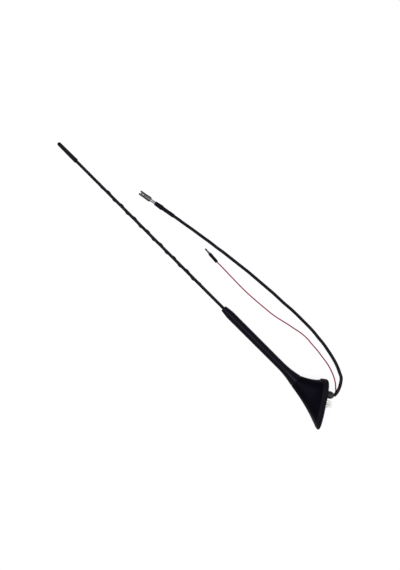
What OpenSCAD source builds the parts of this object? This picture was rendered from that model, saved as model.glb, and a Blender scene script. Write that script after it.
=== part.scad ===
// Car roof aerial with a spiral-sleeved whip, a leaning fin base and two leads.
// It lies on its side as it would come to rest on a bench, +Z up: the rim of
// the base and the whip's tip touch the bench, and both leads lie on it.
// X runs from the tip to the base. The origin is on the bench, under the
// middle of the aerial's own box, leads left out.
// Each rigid piece is drawn upright in one of two frames and then laid down.
// Base frame: origin at the middle of the roof face, +Z out of the roof, +X to
// the side that the mast leans to. Mast frame: +Z along the mast, origin where
// the mast's line meets the roof face.

/* [Mast] */
// From the roof face to the very tip, along the mast
mast_reach = 578; // [480:1:680]
// Lean of the mast from square to the roof, degrees
mast_lean = 33; // [25:0.5:40]
// Where the mast's line meets the roof face, from the middle of the footprint
mast_offset = -4; // [-6:0.5:-2]
// Outside diameter of the whip's plain sleeve
sleeve_d = 4.6; // [4.4:0.1:5.4]
// Wall of the sleeve
sleeve_wall = 0.35; // [0.25:0.05:0.4]
// Diameter of the glass-fibre core
core_d = 2.5; // [2:0.1:2.6]
// Diameter of the aerial wire wound on the core
wire_d = 0.4; // [0.3:0.02:0.46]

/* [Spiral] */
// Rise of the spiral rib in one turn
spiral_pitch = 28.9; // [20:0.1:40]
// How far the rib stands proud of the sleeve
spiral_height = 1; // [0.5:0.1:1.5]
// Half of the angle that the rib's foot takes up, degrees
spiral_half_width = 26; // [20:1:34]
// Distance from the tip to the top of the spiral
spiral_start = 96; // [70:1:140]
// Distance from the tip to the bottom of the spiral
spiral_end = 317; // [220:1:330]

/* [Tip cap] */
// Length of the cap
cap_length = 41; // [25:1:60]
// Radius of the cap's round nose
cap_nose_r = 3.1; // [2.9:0.1:4]
// Radius of the cap at its open end
cap_end_r = 3.65; // [3.5:0.05:5]
// Thickness of the cap beyond the end of the sleeve
cap_roof = 8; // [5:1:14]

/* [Grip boot] */
// Distance from the roof face to the boot's foot, along the mast
foot_height = 56; // [54:0.5:62]
// Length of the boot
boot_length = 156; // [110:1:180]
// Radius of the boot's flat top
boot_top_r = 4.6; // [3.8:0.1:6]
// Length of the taper under the boot's top
boot_taper = 13; // [6:1:24]
// Greatest radius of the boot's grip
boot_grip_r = 6.7; // [6:0.1:8]
// Radius of the boot where the foot starts to flare
boot_waist_r = 6.45; // [5.8:0.05:7]
// Height of the flare at the boot's foot
flare_height = 34; // [20:1:50]
// Radius of the boot's foot
foot_r = 10.3; // [9.5:0.1:10.6]

/* [Mast fixing] */
// Diameter of the threaded spigot under the mast
spigot_d = 5.9; // [4.9:0.1:6.5]
// Length of the spigot below the boot's foot
spigot_length = 9.5; // [8.5:0.5:12]
// Radial running clearance of the spigot in its socket
spigot_gap = 0.05; // [0.02:0.01:0.1]
// Radius of the ferrule's flange
ferrule_flange_r = 8; // [6:0.1:9]
// Thickness of the ferrule's flange
ferrule_flange_t = 3; // [2:0.5:5]
// Radius of the ferrule's barrel
ferrule_r = 4; // [3:0.1:5]
// Height of the ferrule above the boot's foot
ferrule_height = 44; // [30:1:60]
// Thickness of the seal washer under the mast
washer_t = 0.9; // [0.6:0.1:0.9]
// Outside radius of the seal washer
washer_r = 9.4; // [7:0.1:9.5]

/* [Base cover] */
// Radius of the collar that the mast stands on
collar_r = 10.7; // [10.7:0.1:11.5]
// Front edge of the cover at its foot, from the middle of the footprint
cover_front = 36; // [34:0.5:36.5]
// Back edge of the cover at its foot
cover_back = -29; // [-29:0.5:-27]
// Half of the cover's width at its foot
cover_half_width = 22.8; // [21:0.1:22.9]
// Pull of the front edge towards the inside, half way up
front_hollow = 3.4; // [0:0.1:5]
// Sag of the back edge below a straight line, half way up
back_hollow = 3.2; // [0:0.1:5]
// How fast the sides draw in above the foot
side_draw = 1.7; // [1:0.1:2.2]
// Radius of the brass socket's body
socket_r = 5; // [4.4:0.1:6]
// Length of the brass socket
socket_length = 15; // [12:0.5:16]

/* [Gasket and plate] */
// Half of the length of the roof face
gasket_half_length = 38.1; // [36:0.1:42]
// Half of the width of the roof face
gasket_half_width = 25; // [24.5:0.1:28]
// Height of the rubber gasket
gasket_height = 8.4; // [7.5:0.1:10]
// Wall of the gasket at its top
gasket_wall = 2.4; // [2:0.1:2.8]
// Depth that the plate is set back behind the roof face
plate_recess = 0.8; // [0.4:0.1:1.5]
// Thickness of the plate's floor
plate_floor = 3.5; // [2.5:0.1:4]
// Wall of the plate's rim
plate_wall = 3; // [2:0.1:3.5]

/* [Roof stud and clip] */
// Radius of the roof stud
stud_r = 6; // [5.5:0.1:7]
// Place of the stud along the footprint
stud_x = 16; // [16:0.5:18]
// Length of the stud's straight part below the roof face
stud_length = 9.2; // [8.5:0.1:14]
// Length of the stud's conical end
stud_cone = 3.4; // [2:0.1:5]
// Radius of the hole through the stud
stud_bore_r = 4.1; // [3.8:0.1:4.4]
// Place of the locating clip along the footprint
clip_x = 2.2; // [1.5:0.1:2.2]
// Length of the clip below the roof face
clip_length = 13; // [10:0.5:16]
// Width of the clip along the footprint
clip_width = 10.4; // [7:0.1:10.4]
// Thickness of the clip across the footprint
clip_thickness = 6; // [4:0.5:8]

/* [Electronics] */
// Length of the amplifier board
board_length = 28; // [24:1:29]
// Width of the amplifier board
board_width = 24; // [20:1:25]
// Thickness of the amplifier board
board_t = 1.6; // [1:0.2:1.6]
// Height of the screening can
can_height = 4.5; // [3:0.5:6]

/* [Leads] */
// Outside diameter of the coaxial cable
coax_d = 5; // [4.6:0.1:5.4]
// Outside diameter of the feed wire
feed_d = 2; // [1.4:0.1:2]

/* [Coaxial plug] */
// Radius of the plug's front sleeve
plug_front_r = 3.9; // [3.7:0.1:4.4]
// Length of the plug's front sleeve
plug_front_length = 11; // [8:0.5:14]
// Radius of the plug's body
plug_body_r = 4.1; // [4:0.1:4.8]
// Length of the plug's body
plug_body_length = 9; // [6:0.5:12]
// Radius of the plug's open mouth
plug_mouth_r = 3.2; // [3:0.05:3.4]
// Depth of the mouth
plug_mouth_depth = 9; // [7:0.5:10]
// Radius of the centre pin
plug_pin_r = 0.65; // [0.5:0.05:0.8]
// Radius of the crimp ferrule
crimp_r = 2.5; // [2.4:0.05:3]
// Bare length of the crimp ferrule
crimp_length = 9; // [5:0.5:10]
// Greatest radius of the sleeve shrunk over the crimp
wide_shrink_r = 4; // [3.6:0.05:4]
// Length of the sleeve shrunk over the crimp
wide_shrink_length = 14; // [10:0.5:20]
// Radius of the sleeve shrunk over the cable
slim_shrink_r = 3.15; // [2.9:0.05:3.2]
// Length of the sleeve shrunk over the cable
slim_shrink_length = 21.5; // [10:0.5:24]

/* [Feed pin] */
// Radius of the bullet pin at its bulb
bullet_r = 1.5; // [1.3:0.05:1.5]
// Bare length of the bullet pin
bullet_length = 10; // [8:0.2:14]
// Radius of the pin's insulating sleeve
pin_sleeve_r = 2.6; // [2.2:0.1:3]
// Length of the pin's insulating sleeve
pin_sleeve_length = 18.5; // [12:0.5:24]

/* [Hidden] */
$fn = 48;

black = "#1b1b1d";
rubber_black = "#26272a";
olive = "#6b6a55";
steel = "#c9cacc";
brass = "#b08d3e";
natural = "#e6e6da";

fit = 0.05;
seat = 0.05;
outline_points = 48;

// Helpers

function bezier(a, b, c, t) = (1 - t) * (1 - t) * a + 2 * t * (1 - t) * b + t * t * c;
function unit(v) = v / norm(v);
function power(v, e) = sign(v) * pow(abs(v), e);

// A rounded oval: e = 2 is an ellipse, more is squarer
function oval(a, b, cx, e) = [for (i = [0 : outline_points - 1])
    let (th = 360 * i / outline_points)
    [cx + a * power(cos(th), 2 / e), b * power(sin(th), 2 / e)]];

// The oval at height z, as a ring of points
function ring(a, b, cx, z, e) = [for (p = oval(a, b, cx, e)) [p[0], p[1], z]];

// A ring whose front and back points are given in the XZ plane
function leaning_ring(front, back, b, e) = let (
        mid = (front + back) / 2,
        half = (front - back) / 2,
        out = oval(1, 1, 0, e))
    [for (p = out) [mid[0] + half[0] * p[0], b * p[1], mid[1] + half[1] * p[0]]];

function side_faces(n, a, b) = [for (j = [0 : n - 1]) let (k = (j + 1) % n)
    each [[a * n + j, b * n + j, b * n + k], [a * n + j, b * n + k, a * n + k]]];

// A skin over a row of rings with capped ends
module skin(rings) {
    n = len(rings[0]);
    last = len(rings) - 1;
    polyhedron(
        points = [for (r = rings) each r],
        faces = concat(
            [[for (j = [0 : n - 1]) j]],
            [for (i = [0 : last - 1]) each side_faces(n, i, i + 1)],
            [[for (j = [n - 1 : -1 : 0]) last * n + j]]),
        convexity = 8);
}

// A skin over rings that come back to the first one, for a hollow piece
module hollow_skin(rings) {
    n = len(rings[0]);
    count = len(rings);
    polyhedron(
        points = [for (r = rings) each r],
        faces = [for (i = [0 : count - 1]) each side_faces(n, i, (i + 1) % count)],
        convexity = 8);
}

// Round tube or rod along +Z from z0 to z1
module barrel(r, z0, z1) {
    translate([0, 0, z0]) cylinder(r = r, h = z1 - z0);
}

// Footprint of the base, plate and cover

gasket_middle = 3.9;
gasket_top_half_length = gasket_half_length - 4.4;
gasket_edge = 1.7;
foot_squareness = 3;
pocket_half_length = gasket_top_half_length - gasket_wall;
pocket_half_width = gasket_half_width - 0.8 - gasket_wall;

gasket_outer = [
    ring(gasket_half_length, gasket_half_width, 0, 0, foot_squareness),
    ring(gasket_half_length, gasket_half_width, 0, gasket_edge, foot_squareness),
    ring(gasket_top_half_length, gasket_half_width - 0.5, gasket_middle,
        gasket_height - 0.7, foot_squareness),
    ring(gasket_top_half_length - 0.6, gasket_half_width - 0.8, gasket_middle,
        gasket_height, foot_squareness)];

// Laying the aerial down

// From the base frame to the mast frame
function to_mast(p) = let (x = p[0] - mast_offset)
    [x * cos(mast_lean) - p[2] * sin(mast_lean), p[1],
     x * sin(mast_lean) + p[2] * cos(mast_lean)];

gasket_in_mast = [for (r = gasket_outer) for (p = r) to_mast(p)];

// Height of the mast's line over the bench at the roof face, for a given tilt
function lie_height(tilt) = max([for (p = gasket_in_mast)
    p[1] * cos(tilt) + p[2] * sin(tilt)]);

// The tilt at which the gasket's side and the tip both touch the bench
function lie_tilt(steps) = steps == 0 ? 2
    : asin((lie_height(lie_tilt(steps - 1)) - cap_nose_r) / (mast_reach - cap_nose_r));

tilt = lie_tilt(5);
rest_z = lie_height(tilt);
// Ends of the aerial's own box, before it is centred
box_x_low = -(mast_reach - cap_nose_r) * cos(tilt) - cap_nose_r;
box_x_high = max([for (p = gasket_in_mast) p[1] * sin(tilt) - p[2] * cos(tilt)]);
box_y_low = min([for (p = gasket_in_mast) p[0]]);
box_y_high = max([for (p = gasket_in_mast) p[0]]);

module lay_mast() {
    translate([-(box_x_low + box_x_high) / 2, -(box_y_low + box_y_high) / 2, rest_z])
    rotate([0, -tilt, 0])
    rotate([-90, 0, 0])
    rotate([0, -90, 0])
    children();
}

module lay_base() {
    lay_mast()
    rotate([0, -mast_lean, 0])
    translate([-mast_offset, 0, 0])
    children();
}

// A piece of the mast or its socket, drawn in the base frame
module in_mast_frame() {
    translate([mast_offset, 0, 0])
    rotate([0, mast_lean, 0])
    children();
}

// Mast

sleeve_r = sleeve_d / 2;
sleeve_bore_r = sleeve_r - sleeve_wall;
boot_top = foot_height + boot_length;
ferrule_top = foot_height + ferrule_height;
sleeve_low = ferrule_top + 0.3;
sleeve_high = mast_reach - cap_roof;

module tip_cap() {
    nose = [for (i = [0 : 8]) let (a = 90 - 10 * i)
        [cap_nose_r * cos(a), mast_reach - cap_nose_r + cap_nose_r * sin(a)]];
    lip = 0.9;
    color(black) lay_mast()
    rotate_extrude()
    polygon(concat(
        [[0, sleeve_high + fit]],
        nose,
        [[cap_nose_r, mast_reach - cap_nose_r],
         [cap_end_r - 0.15, mast_reach - cap_length + 2 * lip],
         [cap_end_r, mast_reach - cap_length + lip],
         [cap_end_r - 0.25, mast_reach - cap_length],
         [sleeve_r + fit, mast_reach - cap_length],
         [sleeve_r + fit, sleeve_high + fit]]));
}

// Section of the sleeve: rib points first, then the round part
rib_angles = [-1, -0.6, -0.22, 0.22, 0.6, 1] * spiral_half_width;
rib_heights = [0, 0.62, 1, 1, 0.62, 0];
round_points = 10;
round_step = (360 - 2 * spiral_half_width) / (round_points + 1);

function sleeve_ring(z, turn, lift) = concat(
    [for (i = [0 : len(rib_angles) - 1])
        let (r = sleeve_r + spiral_height * rib_heights[i] * lift, a = turn + rib_angles[i])
        [r * cos(a), r * sin(a), z]],
    [for (i = [1 : round_points])
        let (a = turn + spiral_half_width + i * round_step)
        [sleeve_r * cos(a), sleeve_r * sin(a), z]]);

function bore_ring(z, turn, r) = [for (p = sleeve_ring(0, turn, 0))
    [p[0] * r / sleeve_r, p[1] * r / sleeve_r, z]];

// Bare sleeve left between the boot and the foot of the spiral
spiral_clearance = 12;
spiral_low = max(mast_reach - spiral_end, boot_top + spiral_clearance);
spiral_high = mast_reach - spiral_start;
rings_per_turn = 20;
spiral_rings = floor((spiral_high - spiral_low) / spiral_pitch * rings_per_turn);
spiral_fade = 6;
// Turn of the rib about the mast at the spiral's top, so that it shows as it lies
spiral_phase = 155;

function spiral_turn(z) = spiral_phase + 360 * (spiral_high - z) / spiral_pitch;
function spiral_lift(z) = min(1, (z - spiral_low) / spiral_fade, (spiral_high - z) / spiral_fade);

// The bore turns back to the foot's first ring, so that the skin closes on itself
bore_steps = 14;
bore_turn = -positive_turn(spiral_turn(spiral_high) - spiral_turn(spiral_low));
function positive_turn(a) = a - 360 * floor(a / 360);

module whip_sleeve() {
    levels = [for (i = [0 : spiral_rings])
        spiral_low + (spiral_high - spiral_low) * i / spiral_rings];
    high_turn = spiral_turn(spiral_high);
    color(black) lay_mast()
    hollow_skin(concat(
        [sleeve_ring(sleeve_low, spiral_turn(spiral_low), 0)],
        [for (z = levels) sleeve_ring(z, spiral_turn(z), max(0, spiral_lift(z)))],
        [sleeve_ring(sleeve_high, high_turn, 0)],
        [for (i = [0 : bore_steps]) let (f = i / bore_steps)
            bore_ring(sleeve_high + (sleeve_low - sleeve_high) * f, high_turn + bore_turn * f,
                sleeve_bore_r)]));
}

core_r = core_d / 2;
core_low = foot_height + ferrule_flange_t + 4;

module whip_core() {
    color("#c8c4a8") lay_mast()
    barrel(core_r, core_low + seat, sleeve_high - 1);
}

// The wire lies on the core, in the gap under the sleeve
module aerial_wire() {
    r = wire_d / 2;
    helix_r = core_r + r + 0.06;
    steps_per_turn = 10;
    sides = 5;
    low = ferrule_top + fit;
    high = sleeve_high - 12;
    steps = floor((high - low) / spiral_pitch * steps_per_turn);
    centre = [for (i = [0 : steps]) let (a = 360 * i / steps_per_turn)
        [helix_r * cos(a), helix_r * sin(a), low + spiral_pitch * i / steps_per_turn]];
    color(brass) lay_mast()
    skin([for (i = [0 : steps]) let (
            a = 360 * i / steps_per_turn,
            out = [cos(a), sin(a), 0],
            p = centre[i])
        [for (j = [0 : sides - 1]) let (b = 360 * j / sides)
            p + r * (cos(b) * out + sin(b) * [-sin(a), cos(a), 0])]]);
}

flare_low = foot_height + 1.2;
function flare_radius(f) = boot_waist_r + (foot_r - boot_waist_r) * pow(1 - f, 2.1);

module grip_boot() {
    flare_steps = 10;
    flare = [for (i = [0 : flare_steps]) let (f = i / flare_steps)
        [flare_radius(f), flare_low + (flare_height - 1.2) * f]];
    color(black) lay_mast()
    rotate_extrude()
    polygon(concat(
        [[ferrule_flange_r + fit, foot_height], [foot_r - 0.4, foot_height]],
        flare,
        [[boot_grip_r, boot_top - boot_taper - 3],
         [boot_grip_r - 0.12, boot_top - boot_taper],
         [boot_top_r + 0.35, boot_top - 0.7],
         [boot_top_r - 0.5, boot_top],
         [sleeve_r + fit, boot_top],
         [sleeve_r + fit, ferrule_top],
         [ferrule_r + fit, ferrule_top],
         [ferrule_r + fit, foot_height + ferrule_flange_t],
         [ferrule_flange_r + fit, foot_height + ferrule_flange_t]]));
}

module mast_ferrule() {
    color(steel) lay_mast()
    difference() {
        union() {
            barrel(ferrule_flange_r, foot_height, foot_height + ferrule_flange_t - fit);
            barrel(ferrule_r, foot_height, ferrule_top - fit);
            barrel(spigot_d / 2, foot_height - spigot_length, foot_height + 1);
        }
        barrel(core_r + fit, core_low, ferrule_top + 1);
    }
}

module seal_washer() {
    color(rubber_black) lay_mast()
    difference() {
        barrel(washer_r, foot_height - seat - washer_t, foot_height - seat);
        barrel(spigot_d / 2 + spigot_gap, foot_height - washer_t - 1, foot_height + 1);
    }
}

// Base cover: a thick-walled moulding lofted from the oval foot to the collar

collar_height = foot_height - washer_t - 2 * seat;
collar_x = mast_offset + collar_height * sin(mast_lean);
collar_z = collar_height * cos(mast_lean);
ceiling_height = collar_height - socket_length + 2;
// Reach of the solid ends that take the cover's screws
end_block = 10.5;
ceiling_r = socket_r + 2.5;

// A point on the front or back side of a disc square to the mast
function disc_edge(height, r) = [
    mast_offset + height * sin(mast_lean) + r * cos(mast_lean),
    height * cos(mast_lean) - r * sin(mast_lean)];

cover_front_low = [cover_front, gasket_height];
cover_back_low = [cover_back, gasket_height];
cover_front_high = disc_edge(collar_height, collar_r);
cover_back_high = disc_edge(collar_height, -collar_r);
front_pull = (cover_front_low + cover_front_high) / 2 - [front_hollow, 4.5];
back_pull = (cover_back_low + cover_back_high) / 2 + [back_hollow / 2, -back_hollow];
cavity_front_low = cover_front_low - [end_block, 0];
cavity_back_low = cover_back_low + [end_block, 0];
cavity_front_high = disc_edge(ceiling_height, ceiling_r);
cavity_back_high = disc_edge(ceiling_height, -ceiling_r);
cavity_half_width = cover_half_width - 5.8;

function outer_section(t) = leaning_ring(
    bezier(cover_front_low, front_pull, cover_front_high, t),
    bezier(cover_back_low, back_pull, cover_back_high, t),
    collar_r + (cover_half_width - collar_r) * pow(1 - t, side_draw),
    foot_squareness + (2 - foot_squareness) * t);

function cavity_section(t) = leaning_ring(
    (1 - t) * cavity_front_low + t * cavity_front_high,
    (1 - t) * cavity_back_low + t * cavity_back_high,
    ceiling_r + (cavity_half_width - ceiling_r) * pow(1 - t, side_draw),
    foot_squareness + (2 - foot_squareness) * t);

// The socket's hole, as a ring square to the mast whose flats clear the socket
function socket_hole(height) = let (
        r = (socket_r + fit) / cos(180 / outline_points))
    leaning_ring(disc_edge(height, r), disc_edge(height, -r), r, 2);

module base_cover() {
    outer_steps = 20;
    cavity_steps = 8;
    color(black) lay_base()
    hollow_skin(concat(
        [for (i = [0 : outer_steps]) outer_section(i / outer_steps)],
        [socket_hole(collar_height), socket_hole(ceiling_height)],
        [for (i = [cavity_steps : -1 : 0]) cavity_section(i / cavity_steps)]));
}

module mast_socket() {
    color(brass) lay_mast()
    difference() {
        barrel(socket_r, collar_height - socket_length, collar_height - fit);
        barrel(spigot_d / 2 + spigot_gap, foot_height - spigot_length - 2, collar_height + 1);
    }
}

// Spring strip from the socket's lower end down to the board
board_z = plate_recess + plate_floor + 2.3;
board_x = -2.5;
strip_t = 0.5;
strip_width = 4;
strip_foot_x = 9.5;

module contact_strip() {
    top = [mast_offset + (collar_height - socket_length - strip_t / 2) * sin(mast_lean),
           (collar_height - socket_length - strip_t / 2) * cos(mast_lean)];
    foot = [strip_foot_x, board_z + board_t + fit + strip_t / 2];
    run = top - foot;
    color(brass) lay_base() {
        in_mast_frame()
        barrel(socket_r - 0.6, collar_height - socket_length - fit - strip_t,
            collar_height - socket_length - fit);
        translate([foot[0], -strip_width / 2, foot[1]])
        rotate([0, -atan2(run[1], run[0]), 0])
        translate([0, 0, -strip_t / 2])
        cube([norm(run) - 0.3, strip_width, strip_t]);
        translate([foot[0] - 3, -strip_width / 2, foot[1] - strip_t / 2])
        cube([3.2, strip_width, strip_t]);
    }
}

board_screw_places = [[-10.5, 8.5], [-10.5, -8.5], [10.5, 9.5], [10.5, -9.5]];
board_screw_r = 0.9;
post_r = 2.2;

module board_holes() {
    for (p = board_screw_places)
        translate([board_x + p[0], p[1], 0])
        children();
}

module amplifier_board() {
    color("#2f5d3a") lay_base()
    difference() {
        translate([board_x - board_length / 2, -board_width / 2, board_z])
        cube([board_length, board_width, board_t]);
        board_holes() barrel(board_screw_r + fit, board_z - 1, board_z + board_t + 1);
    }
}

module screening_can() {
    can_length = 16;
    can_width = 13;
    can_wall = 0.4;
    color(steel) lay_base()
    translate([board_x - can_length / 2 - 1, -can_width / 2, board_z + board_t])
    difference() {
        cube([can_length, can_width, can_height]);
        translate([can_wall, can_wall, -1])
        cube([can_length - 2 * can_wall, can_width - 2 * can_wall, can_height + 1 - can_wall]);
    }
}

module board_screws() {
    head_r = 1.7;
    head_t = 1;
    color(steel) lay_base()
    board_holes() {
        barrel(head_r, board_z + board_t + fit, board_z + board_t + head_t);
        barrel(board_screw_r, board_z - 1.8, board_z + board_t + head_t);
    }
}

// Base plate: a die-cast tray inside the gasket

cover_screw_places = [cover_front - 5.5, cover_back + 8.5];
cover_screw_r = 1.25;
cover_screw_head_r = 2.4;
cover_screw_head_t = 1.4;
plate_low = plate_recess;
plate_top = gasket_height;
plate_floor_top = plate_recess + plate_floor;

module plate_outline(margin) {
    polygon(oval(pocket_half_length - margin, pocket_half_width - margin,
        gasket_middle, foot_squareness));
}

module base_plate() {
    color("#8d9094") lay_base()
    difference() {
        union() {
            difference() {
                translate([0, 0, plate_low])
                linear_extrude(plate_top - plate_low) plate_outline(0.1);
                translate([0, 0, plate_floor_top])
                linear_extrude(plate_top) plate_outline(plate_wall);
            }
            board_holes() barrel(post_r, plate_floor_top - 1, board_z);
            for (x = cover_screw_places) translate([x, 0, 0])
                barrel(3.2, plate_floor_top - 1, plate_top);
        }
        board_holes() barrel(board_screw_r + fit, board_z - 2, board_z + 1);
        translate([stud_x, 0, 0]) barrel(stud_shank_r + fit, 0, plate_floor_top + 1);
        translate([clip_x - clip_width / 2 - fit, -clip_thickness / 2 - fit, 0])
        cube([clip_width + 2 * fit, clip_thickness + 2 * fit, plate_floor_top + 1]);
        for (x = cover_screw_places) translate([x, 0, 0]) {
            barrel(cover_screw_r + fit, 0, plate_top + 1);
            barrel(cover_screw_head_r + fit, 0, plate_low + cover_screw_head_t + fit);
        }
    }
}

module cover_screws() {
    reach = 4;
    color(steel) lay_base()
    for (x = cover_screw_places) translate([x, 0, 0]) {
        barrel(cover_screw_r, plate_low + 0.4, plate_top + reach);
        barrel(cover_screw_head_r, plate_low, plate_low + cover_screw_head_t);
    }
}

module roof_gasket() {
    color(rubber_black) lay_base()
    hollow_skin(concat(gasket_outer, [
        ring(pocket_half_length, pocket_half_width, gasket_middle, gasket_height,
            foot_squareness),
        ring(pocket_half_length, pocket_half_width, gasket_middle, 0, foot_squareness)]));
}

// Roof stud, clip and grommet

stud_flange_r = stud_r + 1.5;
// Plain shank that is pressed into the plate
stud_shank_r = stud_r + 0.5;
stud_flange_t = 1.5;
stud_end = -(stud_length + stud_cone);
stud_mouth_r = stud_bore_r + 0.3;

module roof_stud() {
    color(olive) lay_base()
    translate([stud_x, 0, 0])
    difference() {
        union() {
            barrel(stud_flange_r, plate_floor_top, plate_floor_top + stud_flange_t);
            barrel(stud_r, -stud_length, plate_floor_top);
            barrel(stud_shank_r, plate_low, plate_floor_top + stud_flange_t);
            translate([0, 0, stud_end])
            cylinder(r1 = stud_mouth_r, r2 = stud_r, h = stud_cone);
        }
        barrel(stud_bore_r, stud_end - 1, plate_floor_top + stud_flange_t + 1);
    }
}

// Two sprung legs with barbs, joined by a head above the plate
module locating_clip() {
    half = clip_width / 2;
    slit = 0.8;
    barb = 1.1;
    head = 0.9;
    legs = [
        [-half, plate_floor_top], [-half, -3], [-half - barb, -4.5], [-half + 1.2, -clip_length],
        [-slit, -clip_length], [-slit, -2], [slit, -2], [slit, -clip_length],
        [half - 1.2, -clip_length], [half + barb, -4.5], [half, -3], [half, plate_floor_top],
        [half + head, plate_floor_top], [half + head, plate_floor_top + 1],
        [-half - head, plate_floor_top + 1], [-half - head, plate_floor_top]];
    color(natural) lay_base()
    translate([clip_x, clip_thickness / 2, 0])
    rotate([90, 0, 0])
    linear_extrude(clip_thickness) polygon(legs);
}

grommet_r = stud_bore_r - fit;
grommet_length = 8;
// How far the dome's centre lies inside the stud's mouth
dome_depth = 1.6;

// A rubber plug with a domed end, from which both leads come out
module cable_grommet() {
    color(rubber_black) lay_base()
    translate([stud_x, 0, stud_end + dome_depth]) {
        barrel(grommet_r, 0, grommet_length);
        difference() {
            sphere(r = grommet_r);
            barrel(2 * grommet_r, 0, 2 * grommet_r);
        }
    }
}

// Leads: hand-chosen points from the grommet to the plug and the pin
coax_route = [
    [280.5, 21.8, 26], [280, 28.5, 26], [277.8, 36, 25.6], [273.8, 43.5, 25], [269, 49.5, 24],
    [263, 53, 22.5], [252, 58.5, 19], [240.5, 62.5, 15.5], [229, 65.5, 12], [217.5, 68, 8.5],
    [205.5, 69.5, 5.5], [193.5, 71, 3.5], [181.5, 71.5, 2.5], [169, 71.5, 2.5],
    [156.5, 71.5, 2.5], [143.5, 71, 2.5], [131, 70, 2.5], [118.5, 69.5, 2.5], [106, 69, 2.5],
    [93.5, 68, 2.5], [81, 67, 2.5], [68.5, 66, 2.5], [56, 65, 2.5], [43.5, 63.5, 2.5],
    [31, 62, 2.5], [18.5, 60.5, 2.5], [6, 59, 2.5], [-6.5, 57, 2.5], [-19, 55.5, 2.5],
    [-31.5, 53.5, 2.5], [-44.5, 51.5, 2.5], [-57, 49.5, 2.5], [-69.5, 47.3, 3],
    [-80.5, 45.5, 4], [-90.5, 43.7, 4.1]];
feed_route = [
    [280.2, 21.6, 22.1], [280.3, 25, 22.2], [278.8, 28.6, 22.2], [275.3, 32.2, 22],
    [269.5, 37.5, 21], [262, 42.5, 18.5], [252.5, 47, 15], [241.5, 50.5, 11], [230, 52.5, 7],
    [219, 54.5, 3.5], [206.5, 55.5, 1.6], [194, 56.5, 1], [181.5, 55.5, 1], [169, 53, 1],
    [156.5, 50.5, 1], [144, 47.5, 1], [131.5, 45, 1], [112, 43, 1], [93.5, 41.5, 1],
    [75, 40.5, 1], [56, 40.5, 1], [24, 41.2, 1.5], [9, 41.2, 2.6]];
// Middle of the plug's mouth and of the pin's tip, and their headings in degrees
plug_place = [-152, 32.9];
plug_heading = 10;
pin_place = [-18, 43];
pin_heading = -3.8;

function tangent(pts, i) = unit(pts[min(i + 1, len(pts) - 1)] - pts[max(i - 1, 0)]);

// Points between two neighbours on a smooth curve through all of them
function between(pts, i, t) = let (
        last = len(pts) - 1,
        a = pts[i],
        b = pts[min(i + 1, last)],
        ma = (b - pts[max(i - 1, 0)]) / 2,
        mb = (pts[min(i + 2, last)] - a) / 2)
    (2 * t * t * t - 3 * t * t + 1) * a + (t * t * t - 2 * t * t + t) * ma
    + (3 * t * t - 2 * t * t * t) * b + (t * t * t - t * t) * mb;

function smooth_route(pts, parts) = concat(
    [for (i = [0 : len(pts) - 2]) for (k = [0 : parts - 1]) between(pts, i, k / parts)],
    [pts[len(pts) - 1]]);

module lead(pts, d, sides) {
    skin([for (i = [0 : len(pts) - 1]) let (
            along = tangent(pts, i),
            side = unit(cross(along, [0, 0, 1])),
            up = cross(side, along))
        [for (j = [0 : sides - 1]) let (a = 360 * j / sides)
            pts[i] + d / 2 * (cos(a) * up + sin(a) * side)]]);
}

module coax_cable() {
    color(black) lead(smooth_route(coax_route, 1), coax_d, 10);
}

module feed_wire() {
    color("#b5323a") lead(smooth_route(feed_route, 2), feed_d, 8);
}

// Coaxial plug, drawn along +Z from its mouth

module lay_plug() {
    translate([plug_place[0], plug_place[1], plug_body_r])
    rotate([0, 90, plug_heading])
    children();
}

plug_shell_length = plug_front_length + plug_body_length;
insulator_r = plug_mouth_r - 0.7;
insulator_step = 2.5;
insulator_end = plug_shell_length - 3;
wide_start = plug_shell_length + crimp_length;
slim_start = wide_start + wide_shrink_length;
crimp_grip = 5;

module plug_shell() {
    edge = 0.4;
    groove = 0.5;
    color(steel) lay_plug()
    rotate_extrude()
    polygon([
        [plug_mouth_r, edge], [plug_mouth_r + edge, 0], [plug_front_r - edge, 0],
        [plug_front_r, edge], [plug_front_r, plug_front_length - groove],
        [plug_front_r - groove, plug_front_length - groove],
        [plug_front_r - groove, plug_front_length],
        [plug_body_r - edge / 2, plug_front_length],
        [plug_body_r, plug_front_length + edge / 2],
        [plug_body_r, plug_shell_length - 2 * edge],
        [plug_body_r - 2 * edge, plug_shell_length], [0, plug_shell_length],
        [0, insulator_end + fit], [insulator_r + fit, insulator_end + fit],
        [insulator_r + fit, plug_mouth_depth], [plug_mouth_r, plug_mouth_depth]]);
}

module plug_insulator() {
    color(natural) lay_plug()
    difference() {
        barrel(insulator_r, plug_mouth_depth - insulator_step, insulator_end);
        barrel(plug_pin_r + fit, 0, insulator_end + 1);
    }
}

module plug_pin() {
    nose = 0.5;
    color(brass) lay_plug()
    rotate_extrude()
    polygon([[0, 1.5], [plug_pin_r - nose / 2, 1.5], [plug_pin_r, 1.5 + nose],
        [plug_pin_r, insulator_end], [0, insulator_end]]);
}

module crimp_ferrule() {
    color(steel) lay_plug()
    difference() {
        barrel(crimp_r, plug_shell_length + fit, wide_start + crimp_grip - fit);
        barrel(crimp_r - 1, plug_shell_length, wide_start + crimp_grip);
    }
}

module wide_shrink() {
    // The sleeve widens over the end of the cable's braid, then steps down
    front_r = wide_shrink_r - 0.55;
    color(black) lay_plug()
    rotate_extrude()
    polygon([
        [crimp_r + fit, wide_start], [front_r - 0.2, wide_start],
        [front_r, wide_start + 0.5], [wide_shrink_r - 0.05, slim_start - 4],
        [wide_shrink_r, slim_start - 1.2], [wide_shrink_r - 0.2, slim_start - 0.3],
        [slim_shrink_r + 0.05, slim_start],
        [0, slim_start], [0, wide_start + crimp_grip], [crimp_r + fit, wide_start + crimp_grip]]);
}

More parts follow.
